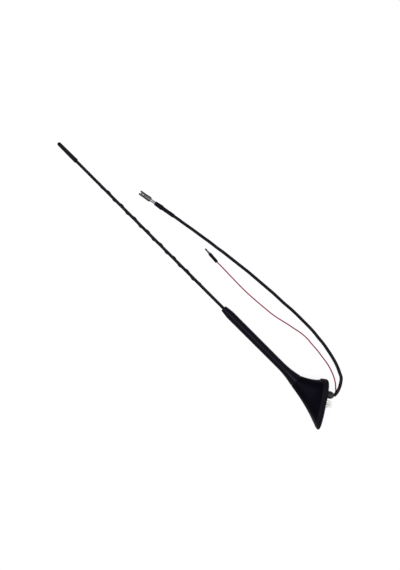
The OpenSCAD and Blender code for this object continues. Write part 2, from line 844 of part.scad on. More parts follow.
module slim_shrink() {
    end = slim_start + slim_shrink_length;
    color(black) lay_plug()
    rotate_extrude()
    polygon([[0, slim_start + fit], [slim_shrink_r, slim_start + fit],
        [slim_shrink_r, end - 1.2], [coax_d / 2 + 0.35, end], [0, end]]);
}

// Feed pin, drawn along +Z from its tip

module lay_pin() {
    translate([pin_place[0], pin_place[1], pin_sleeve_r])
    rotate([0, 90, pin_heading])
    children();
}

pin_grip = 8;
pin_tail_r = bullet_r - 0.5;

module bullet_pin() {
    neck = bullet_r - 0.35;
    color(olive) lay_pin()
    rotate_extrude()
    polygon([
        [0, 0], [0.7 * bullet_r, 0.25 * bullet_r], [bullet_r, bullet_r],
        [bullet_r, 2.2 * bullet_r], [neck, 3 * bullet_r], [neck, 3.6 * bullet_r],
        [bullet_r, 4.6 * bullet_r], [bullet_r, bullet_length],
        [pin_tail_r, bullet_length], [pin_tail_r, bullet_length + pin_grip],
        [0, bullet_length + pin_grip]]);
}

module pin_sleeve() {
    end = bullet_length + pin_sleeve_length;
    color(black) lay_pin()
    rotate_extrude()
    polygon([
        [pin_tail_r + fit, bullet_length + fit], [pin_sleeve_r - 0.5, bullet_length + fit],
        [pin_sleeve_r, bullet_length + 0.6], [pin_sleeve_r, end - 0.9],
        [pin_sleeve_r - 0.9, end], [0, end], [0, bullet_length + pin_grip + fit],
        [pin_tail_r + fit, bullet_length + pin_grip + fit]]);
}

tip_cap();
whip_sleeve();
whip_core();
aerial_wire();
grip_boot();
mast_ferrule();
seal_washer();
base_cover();
mast_socket();
contact_strip();
amplifier_board();
screening_can();
board_screws();
base_plate();
cover_screws();
roof_gasket();
roof_stud();
locating_clip();
cable_grommet();
coax_cable();
feed_wire();
plug_shell();
plug_insulator();
plug_pin();
crimp_ferrule();
wide_shrink();
slim_shrink();
pin_sleeve();
bullet_pin();
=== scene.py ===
# %% [markdown]
# # A car mast aerial, dressed for its portrait
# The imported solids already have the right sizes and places. This script gives
# them the look of the real thing: finer skins where the eye would see facets,
# and a made-up surface for every material. Lengths are worked in millimetres,
# as a drawing has them, and turned into metres only when a mesh is made.

# %% The fixed frame
from math import cos, pi, radians, sin, sqrt

import bpy
import bmesh
from mathutils import Matrix, Vector


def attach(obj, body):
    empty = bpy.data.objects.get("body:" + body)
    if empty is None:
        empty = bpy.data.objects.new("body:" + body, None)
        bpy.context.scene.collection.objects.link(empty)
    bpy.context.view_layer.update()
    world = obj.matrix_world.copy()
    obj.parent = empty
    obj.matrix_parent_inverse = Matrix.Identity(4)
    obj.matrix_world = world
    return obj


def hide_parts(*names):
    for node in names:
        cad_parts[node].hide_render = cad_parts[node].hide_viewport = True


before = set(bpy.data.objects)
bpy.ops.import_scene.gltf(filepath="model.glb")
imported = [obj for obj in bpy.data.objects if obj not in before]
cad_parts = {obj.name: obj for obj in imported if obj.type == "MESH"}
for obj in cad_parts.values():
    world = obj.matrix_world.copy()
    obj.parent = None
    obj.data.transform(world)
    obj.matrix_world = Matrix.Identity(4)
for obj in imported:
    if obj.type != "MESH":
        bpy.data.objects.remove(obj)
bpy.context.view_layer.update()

MM = 0.001
scene = bpy.context.scene

# %% [markdown]
# ## The camera comes first
# The photograph looks straight down on an aerial that lies on its side, with
# the whip running from the upper left to the lower right. So the camera hangs
# over the bench, turned 45 degrees, and its distance is what makes the near rim
# of the base look a little larger than the tip.

# %% Camera over the bench
camera_over = (0.0167, -0.00305)
camera_height = 0.850
camera_turn = 45
sensor_height = 36
lens = 34.15
camera_data = bpy.data.cameras.new("bench_camera")
camera_data.sensor_fit = "VERTICAL"
camera_data.sensor_height = sensor_height
camera_data.lens = lens
camera = bpy.data.objects.new("bench_camera", camera_data)
camera.location = (*camera_over, camera_height)
camera.rotation_euler = (0, 0, radians(camera_turn))
scene.collection.objects.link(camera)
scene.camera = camera
print("camera", [round(x, 3) for x in camera.location], "lens", camera_data.lens)

# %% [markdown]
# ## The two leads
# A cable is a tube of one thickness along a smooth line. Blender's curve with a
# round bevel is just that, and stays easy to edit. The points are the ones that
# the solids were swept along: out of the stud, down on to the bench, and then
# in one loose sweep towards the tip.

# %% Leads as bevelled curves
coax_skin_d = 4.98
feed_skin_d = 1.98
coax_points = [
    (280.5, 21.8, 26), (280, 28.5, 26), (277.8, 36, 25.6), (273.8, 43.5, 25), (269, 49.5, 24),
    (263, 53, 22.5), (252, 58.5, 19), (240.5, 62.5, 15.5), (229, 65.5, 12), (217.5, 68, 8.5),
    (205.5, 69.5, 5.5), (193.5, 71, 3.5), (181.5, 71.5, 2.5), (169, 71.5, 2.5),
    (156.5, 71.5, 2.5), (143.5, 71, 2.5), (131, 70, 2.5), (118.5, 69.5, 2.5), (106, 69, 2.5),
    (93.5, 68, 2.5), (81, 67, 2.5), (68.5, 66, 2.5), (56, 65, 2.5), (43.5, 63.5, 2.5),
    (31, 62, 2.5), (18.5, 60.5, 2.5), (6, 59, 2.5), (-6.5, 57, 2.5), (-19, 55.5, 2.5),
    (-31.5, 53.5, 2.5), (-44.5, 51.5, 2.5), (-57, 49.5, 2.5), (-69.5, 47.3, 3),
    (-80.5, 45.5, 4), (-90.5, 43.7, 4.1)]
feed_points = [
    (280.2, 21.6, 22.1), (280.3, 25, 22.2), (278.8, 28.6, 22.2), (275.3, 32.2, 22),
    (269.5, 37.5, 21), (262, 42.5, 18.5), (252.5, 47, 15), (241.5, 50.5, 11), (230, 52.5, 7),
    (219, 54.5, 3.5), (206.5, 55.5, 1.6), (194, 56.5, 1), (181.5, 55.5, 1), (169, 53, 1),
    (156.5, 50.5, 1), (144, 47.5, 1), (131.5, 45, 1), (112, 43, 1), (93.5, 41.5, 1),
    (75, 40.5, 1), (56, 40.5, 1), (24, 41.2, 1.5), (9, 41.2, 2.6)]


def lead(name, points, diameter):
    curve = bpy.data.curves.new(name, "CURVE")
    curve.dimensions = "3D"
    curve.bevel_depth = diameter / 2 * MM
    curve.bevel_resolution = 7
    curve.resolution_u = 6
    curve.use_fill_caps = True
    spline = curve.splines.new("BEZIER")
    spline.bezier_points.add(len(points) - 1)
    for knot, point in zip(spline.bezier_points, points):
        knot.co = Vector(point) * MM
        knot.handle_left_type = knot.handle_right_type = "AUTO"
    obj = bpy.data.objects.new(name, curve)
    scene.collection.objects.link(obj)
    return obj


coax = lead("coax_jacket", coax_points, coax_skin_d)
feed = lead("feed_jacket", feed_points, feed_skin_d)

# %% [markdown]
# ## Two drawing frames
# The whip and the fin are easiest to describe upright, as they stand on a roof:
# the whip along its own line, the fin square to the roof. Two matrices then lay
# both down on the bench, so no coordinate has to be worked out lying at a slant.
# The plug and the pin are drawn upright too, each from its open or pointed end.

# %% Matrices that lay the aerial down
mast_lean = 33
bench_tilt = 2.20132
mast_offset = -4
mast_foot = (0.279444, -0.00289174, 0.0251824)
plug_mouth, plug_heading = (-0.152, 0.0329, 0.0041), 10
pin_tip, pin_heading = (-0.018, 0.043, 0.0026), -3.8


def lay_along(start, heading):
    """Lays a piece that is drawn upright flat on the bench, headed this many degrees."""
    return (Matrix.Translation(start) @ Matrix.Rotation(radians(heading), 4, "Z")
            @ Matrix.Rotation(radians(90), 4, "Y"))


lay_mast = (Matrix.Translation(mast_foot)
            @ Matrix.Rotation(radians(-bench_tilt), 4, "Y")
            @ Matrix.Rotation(radians(-90), 4, "X")
            @ Matrix.Rotation(radians(-90), 4, "Y"))
lay_base = (lay_mast @ Matrix.Rotation(radians(-mast_lean), 4, "Y")
            @ Matrix.Translation((-mast_offset * MM, 0, 0)))
lay_plug = lay_along(plug_mouth, plug_heading)
lay_pin = lay_along(pin_tip, pin_heading)
print("tip at", [round(x, 4) for x in lay_mast @ Vector((0, 0, 0.578))])

# %% [markdown]
# ## One helper for nearly every skin
# Caps, boots, plugs, fins and threads are all rows of rings with a skin between
# them. The helper joins the rings with four-sided faces, closes the ends if it is
# asked to, and stores how far round and how far along each corner lies, so that a
# material can follow the piece. A hair is the smallest distance drawn: skins keep
# it from their solids, and points that would fall on the axis keep it from there.

# %% Skin over rings
hair = 0.01


def skin(name, rings, place, caps=(True, True), loop=False):
    mesh = bmesh.new()
    layer = mesh.loops.layers.uv.new("wrap")
    rows = [[mesh.verts.new(place @ (Vector(p) * MM)) for p in ring] for ring in rings]
    along = [0.0]
    for a, b in zip(rings, rings[1:]):
        along.append(along[-1] + (Vector(b[0]) - Vector(a[0])).length)
    count = len(rings[0])
    pairs = [(i, i + 1) for i in range(len(rows) - 1)]
    if loop:
        pairs.append((len(rows) - 1, 0))
    for i, k in pairs:
        for j in range(count):
            n = (j + 1) % count
            face = mesh.faces.new((rows[i][j], rows[i][n], rows[k][n], rows[k][j]))
            face.smooth = True
            high = along[k] if k > i else along[i] + 1
            corners = ((j, along[i]), (j + 1, along[i]), (j + 1, high), (j, high))
            for corner, (turn, reach) in zip(face.loops, corners):
                corner[layer].uv = (turn / count, reach)
    if caps[0] and not loop:
        mesh.faces.new(rows[0][::-1])
    if caps[1] and not loop:
        mesh.faces.new(rows[-1])
    bmesh.ops.recalc_face_normals(mesh, faces=mesh.faces[:])
    data = bpy.data.meshes.new(name)
    mesh.to_mesh(data)
    mesh.free()
    obj = bpy.data.objects.new(name, data)
    scene.collection.objects.link(obj)
    return obj


def circle(r, z, count=48, x=0.0):
    return [(x + r * cos(2 * pi * j / count), r * sin(2 * pi * j / count), z)
            for j in range(count)]


def turned(name, profile, place, count=48, loop=False):
    """A piece turned on a lathe: the profile gives (radius, height) pairs."""
    return skin(name, [circle(max(r, hair), z, count) for r, z in profile], place, loop=loop)


def rounded(profile, radius, steps=4):
    """The same profile with each inner corner rounded off by a small arc.

    An arc takes up at most largest_share of each straight line that it joins."""
    largest_share = 0.45
    out = [profile[0]]
    for a, b, c in zip(profile, profile[1:], profile[2:]):
        pa, pb, pc = Vector(a), Vector(b), Vector(c)
        cut = min(radius, (pa - pb).length * largest_share, (pc - pb).length * largest_share)
        start = pb + (pa - pb).normalized() * cut
        end = pb + (pc - pb).normalized() * cut
        for i in range(steps + 1):
            t = i / steps
            out.append(tuple((1 - t) ** 2 * start + 2 * t * (1 - t) * pb + t * t * end))
    return out + [profile[-1]]


print("lathe and loft helpers ready")

# %% [markdown]
# ## Shared surface effects
# Three effects turn up on many of the materials: the fine grain of a moulding,
# the dull film that handling leaves, and the rings that a lathe tool cuts. Each
# is a node group with named inputs, so a material only states how much it wants.


# %% Node helpers
def start_group(name, inputs, outputs):
    kinds = {"value": "NodeSocketFloat", "colour": "NodeSocketColor"}
    group = bpy.data.node_groups.new(name, "ShaderNodeTree")
    for label, kind, default in inputs:
        socket = group.interface.new_socket(name=label, in_out="INPUT", socket_type=kinds[kind])
        socket.default_value = default
    for label, kind in outputs:
        group.interface.new_socket(name=label, in_out="OUTPUT", socket_type=kinds[kind])
    return group, group.nodes.new("NodeGroupInput"), group.nodes.new("NodeGroupOutput")


def join(tree, source, target):
    tree.links.new(source, target)


def noise(tree, vector, scale, detail=3.0):
    node = tree.nodes.new("ShaderNodeTexNoise")
    node.inputs["Detail"].default_value = detail
    node.inputs["Roughness"].default_value = 0.55
    join(tree, vector, node.inputs["Vector"])
    join(tree, scale, node.inputs["Scale"])
    return node.outputs["Fac"]


def spread(tree, value, low, high):
    """0 below low and 1 above high, with a soft step between them."""
    node = tree.nodes.new("ShaderNodeMapRange")
    node.interpolation_type = "SMOOTHSTEP"
    node.inputs["From Min"].default_value = low
    node.inputs["From Max"].default_value = high
    join(tree, value, node.inputs["Value"])
    return node.outputs["Result"]


def times(tree, a, b):
    node = tree.nodes.new("ShaderNodeMath")
    node.operation = "MULTIPLY"
    for socket, value in zip(node.inputs, (a, b)):
        if isinstance(value, (int, float)):
            socket.default_value = value
        else:
            join(tree, value, socket)
    return node.outputs[0]


# A Mix node has sockets for every kind of data, so they are picked by number:
# 6, 7 and 2 for colours, 2, 3 and 0 for plain values.
def blend_colour(tree, mask, a, b):
    node = tree.nodes.new("ShaderNodeMix")
    node.data_type = "RGBA"
    join(tree, mask, node.inputs[0])
    join(tree, a, node.inputs[6])
    join(tree, b, node.inputs[7])
    return node.outputs[2]


def blend_value(tree, mask, a, b):
    node = tree.nodes.new("ShaderNodeMix")
    node.data_type = "FLOAT"
    for socket, value in zip((node.inputs[0], node.inputs[2], node.inputs[3]), (mask, a, b)):
        join(tree, value, socket)
    return node.outputs[0]


print("node helpers ready")

# %% Group: moulded grain
grain_group, inside, outside = start_group(
    "Moulded grain", [("Scale", "value", 2500.0), ("Coarse share", "value", 0.3)],
    [("Height", "value")])
place_at = grain_group.nodes.new("ShaderNodeTexCoord").outputs["Object"]
fine = noise(grain_group, place_at, inside.outputs["Scale"])
pits = grain_group.nodes.new("ShaderNodeTexVoronoi")
join(grain_group, place_at, pits.inputs["Vector"])
join(grain_group, inside.outputs["Scale"], pits.inputs["Scale"])
join(grain_group, blend_value(grain_group, inside.outputs["Coarse share"], fine,
                              pits.outputs["Distance"]), outside.inputs["Height"])
print("group", grain_group.name, "made")

# %% Group: film of dust and handling
film_group, inside, outside = start_group(
    "Handling film",
    [("Clean", "colour", (0.02, 0.02, 0.02, 1)), ("Filmed", "colour", (0.05, 0.05, 0.05, 1)),
     ("Clean roughness", "value", 0.4), ("Filmed roughness", "value", 0.6),
     ("Scale", "value", 60.0), ("Amount", "value", 0.6)],
    [("Colour", "colour"), ("Roughness", "value")])
place_at = film_group.nodes.new("ShaderNodeTexCoord").outputs["Object"]
cloud = noise(film_group, place_at, inside.outputs["Scale"], 6.0)
patches = spread(film_group, cloud, 0.35, 0.7)
film = times(film_group, patches, inside.outputs["Amount"])
join(film_group, blend_colour(film_group, film, inside.outputs["Clean"],
                              inside.outputs["Filmed"]), outside.inputs["Colour"])
join(film_group, blend_value(film_group, film, inside.outputs["Clean roughness"],
                             inside.outputs["Filmed roughness"]), outside.inputs["Roughness"])
print("group", film_group.name, "made")

# %% Group: rings left by a lathe
rings_group, inside, outside = start_group(
    "Turned rings", [("Rings per mm", "value", 6.0)], [("Height", "value")])
wrap = rings_group.nodes.new("ShaderNodeTexCoord").outputs["UV"]
split = rings_group.nodes.new("ShaderNodeSeparateXYZ")
join(rings_group, wrap, split.inputs[0])
position = times(rings_group, split.outputs["Y"], inside.outputs["Rings per mm"])
bands = rings_group.nodes.new("ShaderNodeTexNoise")
bands.noise_dimensions = "1D"
bands.inputs["Scale"].default_value = 1.0
join(rings_group, position, bands.inputs["W"])
join(rings_group, bands.outputs["Fac"], outside.inputs["Height"])
print("group", rings_group.name, "made")

# %% [markdown]
# ## The finishes
# Near-black pieces tell each other apart by how they shine, not by colour: hard
# moulded plastic with a tight grain, softer rubber with a broad sheen, a drawn
# cable jacket, and sleeves that were shrunk on with heat. Their shine is tinted a
# cool violet, as carbon-filled plastics often are. Every finish starts from the
# same few lines and then states its own colours and numbers.


# %% A finish from the shared effects
def place_group(tree, group, **values):
    node = tree.nodes.new("ShaderNodeGroup")
    node.node_tree = group
    for label, value in values.items():
        node.inputs[label.replace("_", " ")].default_value = value
    return node


def rgb(*values):
    return (*values, 1.0)


bump_strength = 0.6


def finish(name, clean, filmed, shine, film_scale=60.0, film_amount=0.6, grain=2500.0,
           coarse=0.3, depth=0.05, rings=None, **shader_values):
    """shine is (clean roughness, filmed roughness); depth is the grain's height in mm."""
    material = bpy.data.materials.new(name)
    material.use_nodes = True
    tree = material.node_tree
    shader = tree.nodes["Principled BSDF"]
    film_node = place_group(tree, film_group, Clean=rgb(*clean), Filmed=rgb(*filmed),
                            Clean_roughness=shine[0], Filmed_roughness=shine[1],
                            Scale=film_scale, Amount=film_amount)
    join(tree, film_node.outputs["Colour"], shader.inputs["Base Color"])
    join(tree, film_node.outputs["Roughness"], shader.inputs["Roughness"])
    if rings:
        relief = place_group(tree, rings_group, Rings_per_mm=rings)
    else:
        relief = place_group(tree, grain_group, Scale=grain, Coarse_share=coarse)
    bump = tree.nodes.new("ShaderNodeBump")
    bump.inputs["Strength"].default_value = bump_strength
    bump.inputs["Distance"].default_value = depth * MM
    join(tree, relief.outputs["Height"], bump.inputs["Height"])
    join(tree, bump.outputs["Normal"], shader.inputs["Normal"])
    for label, value in shader_values.items():
        shader.inputs[label.replace("_", " ")].default_value = value
    return material


# %% Plastics and rubbers
cool = rgb(0.80, 0.74, 1.0)
fin_plastic = finish("Moulded fin plastic", (0.0008, 0.0007, 0.0018), (0.0014, 0.0013, 0.0024),
                     (0.48, 0.58), grain=2200.0, coarse=0.5, depth=0.04, Specular_IOR_Level=0.03,
                     Specular_Tint=cool)
whip_plastic = finish("Whip sleeve", (0.0016, 0.0016, 0.0024), (0.0036, 0.0036, 0.0044),
                      (0.40, 0.48), film_scale=90.0, grain=1800.0, depth=0.03,
                      Specular_IOR_Level=0.09, Specular_Tint=cool)
boot_rubber = finish("Grip boot rubber", (0.0010, 0.0010, 0.0024), (0.0018, 0.0018, 0.0034),
                     (0.38, 0.46), film_scale=45.0, grain=2600.0, coarse=0.4, depth=0.04,
                     Specular_IOR_Level=0.07, Specular_Tint=cool)
gasket_rubber = finish("Gasket rubber", (0.0050, 0.0048, 0.0064), (0.008, 0.0078, 0.0095),
                       (0.62, 0.8), film_scale=70.0, grain=1500.0, coarse=0.3, depth=0.09,
                       Specular_IOR_Level=0.04, Specular_Tint=cool)
jacket = finish("Drawn cable jacket", (0.0014, 0.0014, 0.0022), (0.0036, 0.0036, 0.0044),
                (0.40, 0.48), film_scale=80.0, grain=1400.0, coarse=0.1, depth=0.04,
                Specular_IOR_Level=0.08, Specular_Tint=cool)
shrink = finish("Shrunk sleeve", (0.0012, 0.0012, 0.0020), (0.0034, 0.0034, 0.0042),
                (0.42, 0.52), film_scale=220.0, grain=420.0, coarse=0.1, depth=0.16,
                Specular_IOR_Level=0.055, Specular_Tint=cool)
wire_red = finish("Red wire insulation", (0.29, 0.002, 0.034), (0.24, 0.004, 0.034),
                  (0.45, 0.62), film_scale=90.0, film_amount=0.8, grain=1400.0, depth=0.03,
                  Specular_IOR_Level=0.08)
board_green = finish("Coated circuit board", (0.02, 0.11, 0.05), (0.03, 0.14, 0.06),
                     (0.28, 0.4), film_scale=300.0, grain=1500.0, depth=0.02)
core_fibre = finish("Glass-fibre rod", (0.55, 0.52, 0.36), (0.62, 0.6, 0.48),
                    (0.35, 0.5), film_scale=200.0, grain=900.0, depth=0.03)
white_insulator = finish("White insulator", (0.72, 0.72, 0.69), (0.6, 0.6, 0.56),
                         (0.4, 0.55), film_scale=300.0, grain=1200.0, depth=0.02)
print("plastics and rubbers ready")

# %% [markdown]
# ## Metals and nylon
# The plug is nickel, turned on a lathe, so its rings catch the light in bands
# across the axis; its sleeve is duller than the crimped neck. The stud and the
# bullet pin wear a dull olive coating that shifts a little between green and
# brown. The clip is nylon, which lets some light through: a little transmission
# under a rough surface gives that milk.

# %% Metals and nylon
nickel = finish("Turned nickel", (0.05, 0.048, 0.048), (0.10, 0.085, 0.09), (0.28, 0.42),
                film_scale=160.0, film_amount=0.7, rings=7.0, depth=0.02, Metallic=1.0)
bright_nickel = finish("Bright nickel", (0.17, 0.165, 0.165), (0.13, 0.125, 0.125),
                       (0.28, 0.42), film_scale=160.0, film_amount=0.7, rings=7.0, depth=0.02,
                       Metallic=1.0)
olive_coat = finish("Olive passivated steel", (0.034, 0.033, 0.025), (0.022, 0.022, 0.018),
                    (0.36, 0.55), film_scale=260.0, film_amount=0.9, grain=1600.0, depth=0.03,
                    Metallic=0.6)
zinc = finish("Zinc plated steel", (0.55, 0.55, 0.56), (0.40, 0.40, 0.42), (0.3, 0.45),
              film_scale=200.0, grain=1500.0, depth=0.02, Metallic=1.0)
brass = finish("Plain brass", (0.52, 0.36, 0.13), (0.38, 0.26, 0.11), (0.28, 0.45),
               film_scale=200.0, grain=1500.0, depth=0.02, Metallic=1.0)
die_cast = finish("Die-cast alloy", (0.34, 0.35, 0.36), (0.24, 0.245, 0.25), (0.48, 0.62),
                  film_scale=120.0, grain=1100.0, coarse=0.5, depth=0.06, Metallic=0.85)
nylon = finish("Natural nylon", (0.94, 0.94, 0.80), (0.88, 0.88, 0.72), (0.34, 0.5),
               film_scale=150.0, grain=900.0, depth=0.04, Transmission_Weight=0.2, IOR=1.45)
print("metals and nylon ready")

# %% [markdown]
# ## Whip: a sleeve over a wound wire
# The spiral on the whip is the aerial wire itself, wound on a rod and covered
# by a thin black sleeve that shows it as a rounded ridge. A screw modifier could
# make a coil, but not a coil that melts into a tube. So the radius is written as
# a rule: the tube's own radius, plus a soft hump wherever the wire passes.

# %% Whip sleeve with its spiral ridge
mast_reach = 578.0
sleeve_r = 2.3
skin_depth = 0.12
spiral_pitch = 28.9
spiral_height = 0.98
spiral_half_width = 26.0
spiral_high = mast_reach - 96.0
spiral_low = mast_reach - 317.0
spiral_fade = 6.0
spiral_phase = 155.0
ridge_softness = 0.02
ridge_steps = 380
boot_top = 212.0


def hump(angle, z):
    """How far the ridge stands up at this angle and height, from 0 to 1."""
    lift = min(1.0, (z - spiral_low) / spiral_fade, (spiral_high - z) / spiral_fade)
    if lift <= 0:
        return 0.0
    away = (angle - spiral_phase - 360 * (spiral_high - z) / spiral_pitch + 180) % 360 - 180
    arch = 1 - (away / spiral_half_width) ** 2
    return lift * (sqrt(arch * arch + ridge_softness) + arch) / 2


def sleeve_ring(z, count=44):
    ring = []
    for j in range(count):
        angle = 360 * j / count
        r = sleeve_r + skin_depth + spiral_height * hump(angle, z)
        ring.append((r * cos(radians(angle)), r * sin(radians(angle)), z))
    return ring


plain = [boot_top - 6, boot_top + 10, boot_top + 30, spiral_low]
coiled = [spiral_low + (spiral_high - spiral_low) * (i + 1) / ridge_steps
          for i in range(ridge_steps)]
levels = plain + coiled + [spiral_high + 20, spiral_high + 40, mast_reach - 12]
whip = skin("whip_sleeve_skin", [sleeve_ring(z) for z in levels], lay_mast)
whip.data.materials.append(whip_plastic)
print("whip sleeve", len(whip.data.polygons), "faces,",
      round((spiral_high - spiral_low) / spiral_pitch, 1), "turns of ridge")

# %% [markdown]
# ## Tip cap and grip boot
# Both are round, so each is one profile turned about the whip's line. The cap
# widens very slightly to its open end and has a thin lip there. The boot has a
# short taper at the top, a nearly straight grip, and a long flare at the foot
# that follows a power curve, because a straight cone would look stiff.

# %% Tip cap
cap_nose_r = 3.1
cap_end_r = 3.65
cap_end = mast_reach - 41.0
nose = [(cap_nose_r * sin(radians(6 * i)),
         mast_reach - cap_nose_r + cap_nose_r * cos(radians(6 * i))) for i in range(16)]
cap_profile = nose + rounded(
    [(cap_nose_r, mast_reach - cap_nose_r - 0.1), (cap_end_r - 0.15, cap_end + 1.8),
     (cap_end_r, cap_end + 0.9), (cap_end_r - 0.25, cap_end), (sleeve_r, cap_end),
     (sleeve_r, cap_end + 3)], 0.3)
cap = turned("tip_cap_skin", cap_profile, lay_mast, 56)
cap.data.materials.append(whip_plastic)
print("tip cap", len(cap.data.polygons), "faces")

# %% Grip boot
foot_height = 56.0
foot_r = 10.3
waist_r = 6.45
grip_r = 6.7
foot_band = 1.2
flare_low = foot_height + foot_band
flare_height = 34.0
flare_power = 2.1
flare_steps = 24
top_r = 4.6
taper = 13.0
flare = [(waist_r + (foot_r - waist_r) * (1 - i / flare_steps) ** flare_power,
          flare_low + (flare_height - foot_band) * i / flare_steps)
         for i in range(flare_steps + 1)]
upper = rounded([flare[-1], (grip_r, boot_top - taper - 3), (grip_r - 0.12, boot_top - taper),
                 (top_r + 0.35, boot_top - 0.7), (top_r - 0.5, boot_top),
                 (sleeve_r, boot_top), (sleeve_r, boot_top - 3)], 1.2, 5)
ferrule_flange_r = 8.0
foot = rounded([(ferrule_flange_r, foot_height), (foot_r - 0.4, foot_height),
                flare[0], flare[1]], 0.4)
boot = turned("grip_boot_skin", foot[:-1] + flare[1:] + upper[1:], lay_mast, 72)
boot.data.materials.append(boot_rubber)
print("grip boot", len(boot.data.polygons), "faces")

# %% [markdown]
# ## Fin: a loft from an oval to a circle
# The foot of the fin is a squared oval on the gasket and its top is a round
# collar square to the whip. Its front and back edges are soft curves. Each ring
# between them leans a little more than the one below, so the skin turns from
# upright to the whip's lean without a crease.

# %% Fin cover
collar_height = 55.0
collar_r = 10.7
cover_half_width = 22.8
cover_front = 36.0
cover_back = -29.0
front_hollow = (3.4, 4.5)
back_hollow = (-1.6, 3.2)
side_draw = 1.7
squareness = 3.0
gasket_height = 8.4
socket_r = 5.05
socket_depth = 13
fin_steps = 40


def disc_edge(height, r):
    """A point on the rim of a disc that is square to the whip."""
    lean = radians(mast_lean)
    return Vector((mast_offset + height * sin(lean) + r * cos(lean),
                   height * cos(lean) - r * sin(lean)))


def power(value, e):
    return (1 if value >= 0 else -1) * abs(value) ** e


def leaning_ring(front, back, half_width, e, count=96):
    middle, half = (front + back) / 2, (front - back) / 2
    ring = []
    for j in range(count):
        a = 2 * pi * j / count
        reach, side = power(cos(a), 2 / e), power(sin(a), 2 / e)
        ring.append((middle.x + half.x * reach, half_width * side, middle.y + half.y * reach))
    return ring


def curve_at(a, b, c, t):
    return (1 - t) ** 2 * a + 2 * t * (1 - t) * b + t * t * c


front_low = Vector((cover_front, gasket_height))
back_low = Vector((cover_back, gasket_height))
front_high = disc_edge(collar_height, collar_r)
back_high = disc_edge(collar_height, -collar_r)
front_pull = (front_low + front_high) / 2 - Vector(front_hollow)
back_pull = (back_low + back_high) / 2 - Vector(back_hollow)


def fin_ring(t, inset=0.0):
    front = curve_at(front_low, front_pull, front_high, t)
    back = curve_at(back_low, back_pull, back_high, t)
    inward = (front - back).normalized() * inset
    width = collar_r + (cover_half_width - collar_r) * (1 - t) ** side_draw
    return leaning_ring(front - inward, back + inward, width - inset,
                        squareness + (2 - squareness) * t)


def round_ring(height, r):
    return leaning_ring(disc_edge(height, r), disc_edge(height, -r), r, 2)


# The narrow shadow line above the gasket comes from the first rings, set inwards
reveal = [fin_ring(0, 2.0), fin_ring(0, 0.9), fin_ring(0.012, 0.9), fin_ring(0.013, 0.1),
          fin_ring(0.018, 0.02)]
sides = [fin_ring(i / fin_steps) for i in range(1, fin_steps)]
edge_rings = [fin_ring(0.993, 0.05), fin_ring(0.998, 0.18)]
rim = [round_ring(collar_height, r) for r in (collar_r - 0.5, 8.0, socket_r)]
fin_rings = reveal + sides + edge_rings + rim + [
    round_ring(collar_height - socket_depth, socket_r)]
fin = skin("fin_skin", fin_rings, lay_base, caps=(False, False))
fin.data.materials.append(fin_plastic)
print("fin", len(fin.data.polygons), "faces")

# %% [markdown]
# ## Gasket
# The gasket is the soft band between fin and roof. It stands a little proud of
# the fin, is widest where it meets the roof, and has a rounded top edge. A shallow
# groove half way up is what such rings have so that they can give.

# %% Gasket ring
half_length, half_width, middle_x = 38.1, 25.0, 3.9
top_half_length = half_length - 4.4
pocket = (31.3, 21.8)
side_low, side_height = 1.7, 6.0
groove_depth = 0.22


def oval(a, b, x, z, count=120):
    return [(x + a * power(cos(2 * pi * j / count), 2 / squareness),
             b * power(sin(2 * pi * j / count), 2 / squareness), z) for j in range(count)]


def gasket_ring(f, out=0.0):
    """Ring of the drafted side: f runs from the foot edge to the top edge."""
    a = half_length + (top_half_length - half_length) * f
    return oval(a + out, half_width - 0.5 * f + out, middle_x * f, side_low + side_height * f)


gasket_rings = [
    oval(*pocket, middle_x, 0), oval(half_length - 0.4, half_width - 0.4, 0, 0),
    oval(half_length - 0.1, half_width - 0.1, 0, 0.12), oval(half_length, half_width, 0, 0.5),
    oval(half_length, half_width, 0, 1.5), gasket_ring(0.06), gasket_ring(0.36),
    gasket_ring(0.42, -groove_depth), gasket_ring(0.50, -groove_depth), gasket_ring(0.56),
    gasket_ring(0.94), gasket_ring(1.0, -0.05),
    oval(top_half_length - 0.35, half_width - 0.68, middle_x, 8.2),
    oval(top_half_length - 0.8, half_width - 1.0, middle_x, gasket_height),
    oval(*pocket, middle_x, gasket_height)]
gasket = skin("gasket_skin", gasket_rings, lay_base, loop=True)
gasket.data.materials.append(gasket_rubber)
print("gasket", len(gasket.data.polygons), "faces")

# %% [markdown]
# ## Threaded stud, clip and grommet
# A thread is the same trick as the whip's spiral with a much finer pitch: the
# radius dips in a V as the helix goes by. The clip is a small extruded outline
# whose edges a bevel modifier softens, since a moulded edge is never sharp.

# %% Roof stud
stud_x = 16.0
stud_r = 6.0
stud_length = 9.2
stud_cone = 3.4
stud_end = -(stud_length + stud_cone)
stud_mouth_r = 4.4
stud_bore_r = 4.12
thread_pitch = 1.25
thread_depth = 0.5
thread_slope = 1.35
ring_rise = 0.16
ring_count = 85


def thread_r(angle, z):
    turn = (z / thread_pitch + angle / 360) % 1.0
    return stud_r - hair - thread_depth * min(1.0, thread_slope * abs(2 * turn - 1))


def stud_ring(z, count=56):
    ring = []
    for j in range(count):
        angle = 360 * j / count
        up_the_cone = min(1.0, (z + stud_length + stud_cone) / stud_cone)
        cone_r = stud_mouth_r + (stud_r - stud_mouth_r) * up_the_cone
        r = min(thread_r(angle, z), cone_r - hair)
        ring.append((stud_x + r * cos(radians(angle)), r * sin(radians(angle)), z))
    return ring


heights = [stud_end + ring_rise * i for i in range(ring_count)]
bore = [circle(stud_bore_r, z, 56, stud_x) for z in (heights[0], heights[0] + 6)]
stud = skin("roof_stud_skin", bore[::-1] + [stud_ring(z) for z in heights], lay_base,
            caps=(False, False))
stud.data.materials.append(olive_coat)
print("roof stud", len(stud.data.polygons), "faces")

